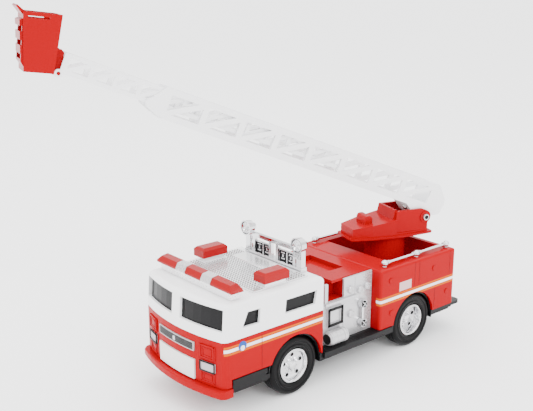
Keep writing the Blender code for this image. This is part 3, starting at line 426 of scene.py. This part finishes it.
def striped_red(name, bottom, y_range, inner):
    """Red plastic with the three printed lines above a height, outside a distance from the middle.

    Behind REAR_PRINT_Y that distance is PRINT_INNER, so that the back stays plain.
    """
    red = Finish(name, RED, 0.17, shine=0.04)
    edge = inner + (red.y > REAR_PRINT_Y) * (PRINT_INNER - inner)
    run = red.y.within(*y_range) * (abs(red.x) > edge)
    for start, end, colour in STRIPE_LINES:
        red.cover_with_colour(red.z.within(bottom + start, bottom + end) * run, colour)
    return red


def front_y(x, outward):
    """The bowed front of the cab at x, moved outward."""
    return FRONT_Y + FRONT_RADIUS - math.sqrt((FRONT_RADIUS + outward) ** 2 - x * x)


def block(shape, centre, size, turn=0.0, material=0, soft=0.0):
    """A small block, in millimetres from the engine's origin, turned about the vertical."""
    place = Matrix.Translation(at(*centre)) @ Matrix.Rotation(turn, 4, "Z")
    scale = Matrix.Diagonal((size[0] * MM, size[1] * MM, size[2] * MM, 1))
    made = bmesh.ops.create_cube(shape, size=1.0, matrix=place @ scale)
    faces = {face for vert in made["verts"] for face in vert.link_faces}
    for face in faces:
        face.material_index = material
    if soft:
        edges = {edge for face in faces for edge in face.edges}
        bmesh.ops.bevel(shape, geom=list(edges), offset=soft * MM, segments=2, profile=0.5,
                        affect="EDGES", material=-1)


def ring_of_bars(shape, spot, width, height, bar, depth, turn=0.0, across="x", material=0):
    """Four rounded bars round a rectangle that faces forward (across x) or sideways (across y)."""
    run = Vector((0, 1, 0))
    flat = (depth, width, bar)
    upright = (depth, bar, height)
    if across == "x":
        run = Vector((math.cos(turn), math.sin(turn), 0))
        flat = (width, depth, bar)
        upright = (bar, depth, height)
    soft = min(bar, depth) * 0.25
    for sign in (-1, 1):
        up_down = Vector(spot) + Vector((0, 0, sign * (height - bar) / 2))
        sideways = Vector(spot) + run * sign * (width - bar) / 2
        block(shape, up_down, flat, turn, material, soft)
        block(shape, sideways, upright, turn, material, soft)


cab_red = striped_red("cab_red_plastic", 50.3, (-66.0, 26.5), PRINT_INNER)
wear(cab_red.done(), "cab_lower_shell")
red_plastic = Finish("red_plastic", RED, 0.17, shine=0.04).done()
seam_red = Finish("seam_shadow", SEAM_RED, 0.3, shine=0.1).done()
badge_blue = Finish("badge_blue", (0.01, 0.07, 0.34), 0.3, shine=0.2).done()
badge_white = Finish("badge_white", (0.85, 0.84, 0.84), 0.3).done()
shape = bmesh.new()
for side in (1, -1):
    block(shape, (side * (CAB_HALF + 0.02), DOOR_Y, 44.5), (0.25, 0.35, 27.0))
new_piece("cab_door_seams", shape, "truck", [seam_red])
shape = bmesh.new()
for side in (1, -1):
    for height, tall, outward in ((50.5, 9.8, 0.75), (31.6, 8.0, 0.1)):
        spot = (side * PANEL_X, front_y(PANEL_X, outward), height)
        turn = math.asin(side * PANEL_X / FRONT_RADIUS)
        ring_of_bars(shape, spot, 12.6, tall, 0.8, 0.5, turn)
        ring_of_bars(shape, spot, 8.2, tall - 3.6, 0.6, 0.4, turn)
new_piece("front_panel_mouldings", shape, "truck", [red_plastic])
shape = bmesh.new()
for side in (1, -1):
    spot = at(side * (CAB_HALF + 0.1), BADGE_Y, BADGE_Z)
    plug(shape, spot, (side, 0, 0), 3.5, 0.3, 28, material=0)
    inset = Vector((side * 0.1, 0, -1.4)) * MM
    plug(shape, spot + inset, (side, 0, 0), 1.9, 0.3, 20, material=1)
new_piece("cab_badges", shape, "truck", [badge_blue, badge_white])

# ---------------------------------------------------------------------------- grille and lamps
# The grille is a silver frame over a fine grid on a back of painted shade. Each headlight is a
# fluted clear block in a black frame, and the pale plate below the grille is pressed to start the sound.
GRILLE_Z = 51.0
GRILLE_FINS = 32
FIN_PITCH = 1.26
GRILLE_PANES = 12
PANE_PITCH = 3.34
GRILLE_ROWS = 5
ROW_PITCH = 1.1
silver_paint = Finish("silver_paint", (0.55, 0.545, 0.56), 0.30, metallic=0.5, grain=0.4).done()
wear(silver_paint, "grille_frame")
grille_grey = Finish("grille_grey", (0.075, 0.073, 0.074), 0.35, metallic=0.3, shine=0.2).done()
# The grille mesh is coloured as painted shade.
wear(shadow_plastic, "grille_mesh")
shape = bmesh.new()
for number in range(GRILLE_FINS):
    x = (number - (GRILLE_FINS - 1) / 2) * FIN_PITCH
    block(shape, (x, front_y(x, 1.0), GRILLE_Z), (0.36, 0.3, 5.2), math.asin(x / FRONT_RADIUS))
for number in range(GRILLE_PANES):
    x = (number - (GRILLE_PANES - 1) / 2) * PANE_PITCH
    turn = math.asin(x / FRONT_RADIUS)
    # Behind each pane of the grid lies a strip of painted shade.
    block(shape, (x, front_y(x, 0.85), GRILLE_Z), (3.38, 0.2, 5.3), turn, material=1)
    for row in range(GRILLE_ROWS):
        block(shape, (x, front_y(x, 0.98), 48.8 + row * ROW_PITCH), (3.38, 0.26, 0.26), turn)
block(shape, (0, front_y(0, 1.2), GRILLE_Z), (2.6, 0.5, 3.2), material=2, soft=0.15)
new_piece("grille_grid", shape, "truck", [grille_grey, shadow_plastic, silver_paint])
lamp_clear = Finish("lamp_clear", (0.42, 0.38, 0.39), 0.12, metallic=0.25, coat=0.2)
flutes = lamp_clear.node("ShaderNodeTexWave", {"bands_direction": "X"}, Vector=lamp_clear.place,
                         Scale=300.0)
lamp_clear.height = Wire(lamp_clear.tree, flutes.outputs["Fac"])
lamp_clear = lamp_clear.done(0.0001)
wear(lamp_clear, "headlight_left", "headlight_right")
shape = bmesh.new()
for word, side in (("left", 1), ("right", -1)):
    low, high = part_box("headlight_" + word)
    middle = ((low + high) / 2 - ORIGIN) / MM
    x = side * abs(middle.x)
    spot = (x, front_y(x, 1.0), middle.z)
    ring_of_bars(shape, spot, (high.x - low.x) / MM + 1.0, (high.z - low.z) / MM + 1.0, 0.8, 0.9,
                 math.asin(x / FRONT_RADIUS))
new_piece("headlight_frames", shape, "truck", [black_plastic])
pale_plate = Finish("pale_plate", (0.80, 0.78, 0.76), 0.30, mottle=0.06).done()
wear(pale_plate, "front_plate")
wear(red_plastic, "front_bumper")

# ----------------------------------------------------------------------- upper cab and windows
# The upper cab is bright white ABS screwed to the lower one. Its windows are one smoked insert
# that lies behind the openings.
white_plastic = Finish("white_plastic", (0.90, 0.90, 0.91), 0.25, shine=0.3, mottle=0.01).done()
wear(white_plastic, "cab_upper_shell")
wear(Finish("smoked_window", (0.006, 0.0058, 0.0064), 0.16, shine=0.12).done(), "window_insert")

# ----------------------------------------------------------------------------- roof tread plate
# A plated plate with rows of small raised buttons, left plain at the back and round the beacons.
# The rack behind it carries two round work lamps and four small frames, the frames drawn in painted shade.
BUTTON_PITCH = 2.5
BUTTON_ROWS = 20
BUTTON_COLUMNS = 32
FIRST_ROW_Y = -33.2
PLATE_TOP = 87.6
PLATE_HALF = 39.8
PATCH_HALF = 31.0
PATCH_Y = 0.5
BEACON_SIDE = 30.4
BEACON_Y = (-25.5, -3.2)
RACK_LAMP = (29.5, 14.6, 107.6)
RACK_FRAMES = (-18.2, -9.4, 9.4, 18.2)
roof_plating = Finish("roof_plating", (0.93, 0.93, 0.94), 0.2, metallic=0.7, grain=0.5, grain_scale=300.0)
roof_plating = roof_plating.done(0.00005)
buttons = Finish("button_plating_painted_shade", (0.60, 0.60, 0.61), 0.2, metallic=0.6)
# The foot of each button is painted near-black as the shade round it; the top stays plated.
buttons.cover_with_colour(buttons.z < PLATE_TOP + 0.25, (0.03, 0.03, 0.032))
button_plating_painted_shade = buttons.done()
wear(roof_plating, "roof_tread_plate")
wear(bright_plating, "light_rack")
shape = bmesh.new()
for row in range(BUTTON_ROWS):
    for column in range(BUTTON_COLUMNS):
        x = (column - (BUTTON_COLUMNS - 1) / 2) * BUTTON_PITCH
        y = FIRST_ROW_Y + row * BUTTON_PITCH
        past_edge = abs(x) > PLATE_HALF
        on_patch = abs(x) < PATCH_HALF and y > PATCH_Y
        by_beacon = abs(x) > BEACON_SIDE and BEACON_Y[0] < y < BEACON_Y[1]
        if past_edge or on_patch or by_beacon:
            continue
        place = Matrix.Translation(at(x, y, PLATE_TOP + 0.2))
        bmesh.ops.create_cone(shape, cap_ends=True, segments=6, radius1=0.8 * MM, radius2=0.5 * MM,
                              depth=0.6 * MM, matrix=place)
new_piece("roof_buttons", shape, "truck", [button_plating_painted_shade])
reflector = [(0.0, -0.7), (0.9, -0.6), (1.5, 0.2), (2.3, -0.3), (3.1, 0.4), (3.9, 0.0), (4.8, 1.1),
             (4.8, 1.7), (0.0, 1.7)]
shape = bmesh.new()
for side in (1, -1):
    centre = at(side * RACK_LAMP[0], *RACK_LAMP[1:])
    spun(shape, reflector, centre, 28, (0, 1, 0), closed=False)
    # A ring of painted shade goes round the back of each lamp.
    plug(shape, centre + Vector((0, 1.3, 0)) * MM, (0, -1, 0), 5.0, 0.5, 28, material=1)
weld(shape)
# The four frames, outer and inner rings, are painted shade.
for x in RACK_FRAMES:
    ring_of_bars(shape, (x, 19.8, 93.8), 6.8, 7.6, 0.9, 0.5, material=1)
    ring_of_bars(shape, (x, 19.8, 93.8), 3.2, 3.6, 0.5, 0.5, material=1)
new_piece("rack_lamps_and_frames", shape, "truck", [bright_plating, shadow_plastic])

# ---------------------------------------------------------------------- light bar and beacons
# Three red lenses with two silver bands between them sit on a low white foot at the front of the
# roof, with one red beacon each side behind. The lenses are ribbed, tinted polystyrene.
WHITE_FOOT_TOP = 92.6
bar = Finish("light_bar_silver", (0.52, 0.50, 0.51), 0.28, metallic=0.4)
bar.cover_with_colour(bar.z < WHITE_FOOT_TOP, (0.86, 0.86, 0.87))
wear(bar.done(), "light_bar_base")
lens = Finish("red_lens", (0.29, 0.0002, 0.003), 0.08, shine=0.12, coat=0.03)
waves = lens.node("ShaderNodeTexWave", {"bands_direction": "X"}, Vector=lens.place, Scale=380.0)
ribs = Wire(lens.tree, waves.outputs["Fac"])
lens.cover_with_colour(ribs * 0.5, (0.2, 0.0002, 0.0006))
lens.height = ribs * 0.8 + lens.fine * 0.1
red_lens = lens.done(0.00006)
wear(red_lens, "light_bar_lens_left", "light_bar_lens_centre", "light_bar_lens_right",
     "beacon_left", "beacon_right")

# ------------------------------------------------------------------- middle deck, pump panels
# The red deck joins the cab to the rear body. On each side is a silver-painted pump panel with
# painted gauge caps, a black-framed indicator, a banded tank and two couplings with centres of painted
# shade.
PIPE_X = 42.2
PUMP_PANEL_X = 38.2
TANK_Z = 31.6
TANK_BANDS = (39.4, 43.2, 47.0, 53.6)
COUPLING_Y = 76.6
COUPLING_HEIGHTS = (33.8, 49.8)
GAUGES = ((64.1, 64.0), (74.6, 61.6), (64.9, 43.8), (82.4, 62.9))
BAND = ((5.3, -0.5), (5.6, -0.3), (5.65, 0.0), (5.6, 0.3), (5.3, 0.5))
GAUGE_CAP = ((3.0, -0.1), (3.0, 0.3), (2.6, 0.6), (2.2, 0.35), (1.4, 0.4), (0.6, 0.9), (0.0, 1.0))
wear(red_plastic, "mid_deck")
wear(silver_paint, "pump_panel_left", "pump_panel_right")
wear(bright_plating, "intake_left", "intake_right")
for word, side in (("left", 1), ("right", -1)):
    axis = (side, 0, 0)
    shape = bmesh.new()
    for z in COUPLING_HEIGHTS:
        centre = at(side * PIPE_X, COUPLING_Y, z)
        # The disc behind each coupling's crossed bars is painted shade.
        plug(shape, centre + Vector((side * 0.1, 0, 0)) * MM, axis, 2.9, 0.3, 28, material=1)
        for turn in (0, 90):
            angle = math.radians(turn + 45)
            bar_turn = Matrix.Rotation(angle, 4, "X")
            scale = Matrix.Diagonal((0.5 * MM, 0.5 * MM, 5.4 * MM, 1))
            place = Matrix.Translation(centre + Vector((side * 0.3, 0, 0)) * MM)
            bmesh.ops.create_cube(shape, size=1.0, matrix=place @ bar_turn @ scale)
    new_piece("coupling_centres_" + word, shape, "truck", [bright_plating, shadow_plastic])
    shape = bmesh.new()
    ring_of_bars(shape, (side * 40.35, 46.9, 47.1), 16.2, 15.0, 2.3, 0.5, across="y")
    plug(shape, at(side * PIPE_X, 35.9, TANK_Z), (0, -1, 0), 4.1, 0.4, 28)
    new_piece("indicator_frame_" + word, shape, "truck", [black_plastic])
    shape = bmesh.new()
    for y in TANK_BANDS:
        spun(shape, BAND, at(side * PIPE_X, y, TANK_Z), 32, (0, 1, 0))
    for y, z in GAUGES:
        spun(shape, GAUGE_CAP, at(side * 39.6, y, z), 28, axis, closed=False)
    weld(shape)
    block(shape, (side * PUMP_PANEL_X, 69.6, 65.2), (0.3, 0.5, 15.8))
    block(shape, (side * PUMP_PANEL_X, 57.4, 37.0), (0.3, 0.4, 4.0))
    new_piece("panel_mouldings_" + word, shape, "truck", [silver_paint])

# ----------------------------------------------------------------- rear body and hand rails
# The rear body is the same red plastic with printed lines, a pale label and moulded locker
# doors. A plated rail with three ball stanchions runs along the top of each side.
BODY_HALF = 47.5
BACK_Y = 182.15
LABEL_Y = (111.5, 126.0)
LABEL_Z = (52.9, 60.4)
RAIL_Z = 77.6
RAIL_RADIUS = 1.15
STANCHIONS = (100.6, 139.0, 177.6)
BALL_RADIUS = 2.75
BALL_STEPS = 12
COLLAR_OFFSET = 3.6
COLLAR = ((1.0, -0.9), (1.9, -0.6), (1.9, 0.6), (1.0, 0.9))
LOCKER_SEAMS = ((130.0, 53.5, 73.5), (135.5, 53.5, 73.5), (175.0, 53.5, 73.5), (156.5, 27.0, 44.5))
body_red = striped_red("body_red_plastic", 45.5, (80.0, 183.0), 43.0)
label = body_red.y.within(*LABEL_Y) * body_red.z.within(*LABEL_Z) * (abs(body_red.x) > 46.5)
body_red.cover_with_colour(label, (0.62, 0.40, 0.39))
wear(body_red.done(), "rear_body")
for word, side in (("left", 1), ("right", -1)):
    low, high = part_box("handrail_" + word)
    x = side * abs((low.x + high.x) / 2 - ORIGIN.x) / MM
    shape = bmesh.new()
    start = at(x, STANCHIONS[0], RAIL_Z)
    reach = STANCHIONS[-1] - STANCHIONS[0]
    spun(shape, [(RAIL_RADIUS, 0.0), (RAIL_RADIUS, reach)], start, 16, (0, 1, 0), closed=False)
    angles = [math.pi * number / BALL_STEPS for number in range(BALL_STEPS + 1)]
    ball = [(BALL_RADIUS * math.sin(angle), -BALL_RADIUS * math.cos(angle)) for angle in angles]
    for y in STANCHIONS:
        centre = at(x, y, RAIL_Z)
        spun(shape, ball, centre, 24, (0, 1, 0), closed=False)
        for offset in (-COLLAR_OFFSET, COLLAR_OFFSET):
            if STANCHIONS[0] <= y + offset <= STANCHIONS[-1]:
                collar = centre + Vector((0, offset, 0)) * MM
                spun(shape, COLLAR, collar, 20, (0, 1, 0))
        plug(shape, centre - Vector((0, 0, 2.0)) * MM, (0, 0, 1), 1.7, 1.4, 16, tip=1.3)
    weld(shape)
    rail = new_piece("hand_rail_" + word, shape, "truck", [bright_plating])
    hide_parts("handrail_" + word)
shape = bmesh.new()
for side in (1, -1):
    x = side * (BODY_HALF + 0.02)
    for y, bottom, top in LOCKER_SEAMS:
        block(shape, (x, y, (bottom + top) / 2), (0.25, 0.35, top - bottom))
new_piece("locker_seams", shape, "truck", [seam_red])
shape = bmesh.new()
ring_of_bars(shape, (0, BACK_Y, 50.0), 40.0, 42.0, 1.2, 0.5)
for side in (1, -1):
    ring_of_bars(shape, (side * 33.5, BACK_Y, 62.0), 20.0, 18.0, 1.0, 0.5)
    ring_of_bars(shape, (side * 33.5, BACK_Y, 39.0), 20.0, 20.0, 1.0, 0.5)
new_piece("rear_locker_frames", shape, "truck", [red_plastic])

# ------------------------------------------------------------------------------- turntable
# The red turning base carries the ladder between two cheeks on a zinc-plated hinge screw, whose
# head's recess is painted shade; a retainer under the body keeps it on its pedestal.
HINGE = Vector((9.079, 173.278, 99.6))
CROSSWISE = Vector((0.95213, -0.3057, 0))
SCREW_REACH = 17.95
wear(red_plastic, "turntable")
wear(zinc, "turntable_retainer", "ladder_hinge_screw", "ladder_arm_screw")
shape = bmesh.new()
# The screw head's hex recess is a near-black plug of painted shade.
plug(shape, at(*(HINGE + CROSSWISE * SCREW_REACH)), CROSSWISE, 1.9, 0.3, 6)
new_piece("hinge_screw_recess", shape, "turning_base", [shadow_plastic])

# ------------------------------------------------------------------ ladders and basket
# Both ladders are bright white ABS lattice mouldings, the upper one sliding in the lower one.
# The red basket hangs between two ears at its tip on a plain pin.
wear(white_plastic, "ladder_lower", "ladder_upper")
basket_red = Finish("basket_red_plastic", (0.29, 0.0001, 0.003), 0.22, shine=0.04).done()
wear(basket_red, "basket", "basket_pin")

# ------------------------------------------------------------------------- works inside
# A green circuit board, a paper-coned speaker, three printed cells and the lamps' board lie
# inside the shells, out of sight.
wear(Finish("circuit_board", (0.02, 0.17, 0.06), 0.4, grain=0.4).done(), "circuit_board", "light_bar_leds")
wear(Finish("speaker_cone", (0.03, 0.03, 0.034), 0.7, grain=0.6).done(), "speaker")
cell = Finish("cell_jacket", (0.03, 0.04, 0.08), 0.28, coat=0.3)
cell.cover_with_colour(cell.y.within(35.0, 48.0), (0.75, 0.36, 0.10))
wear(cell.done(), "battery_1", "battery_2", "battery_3")
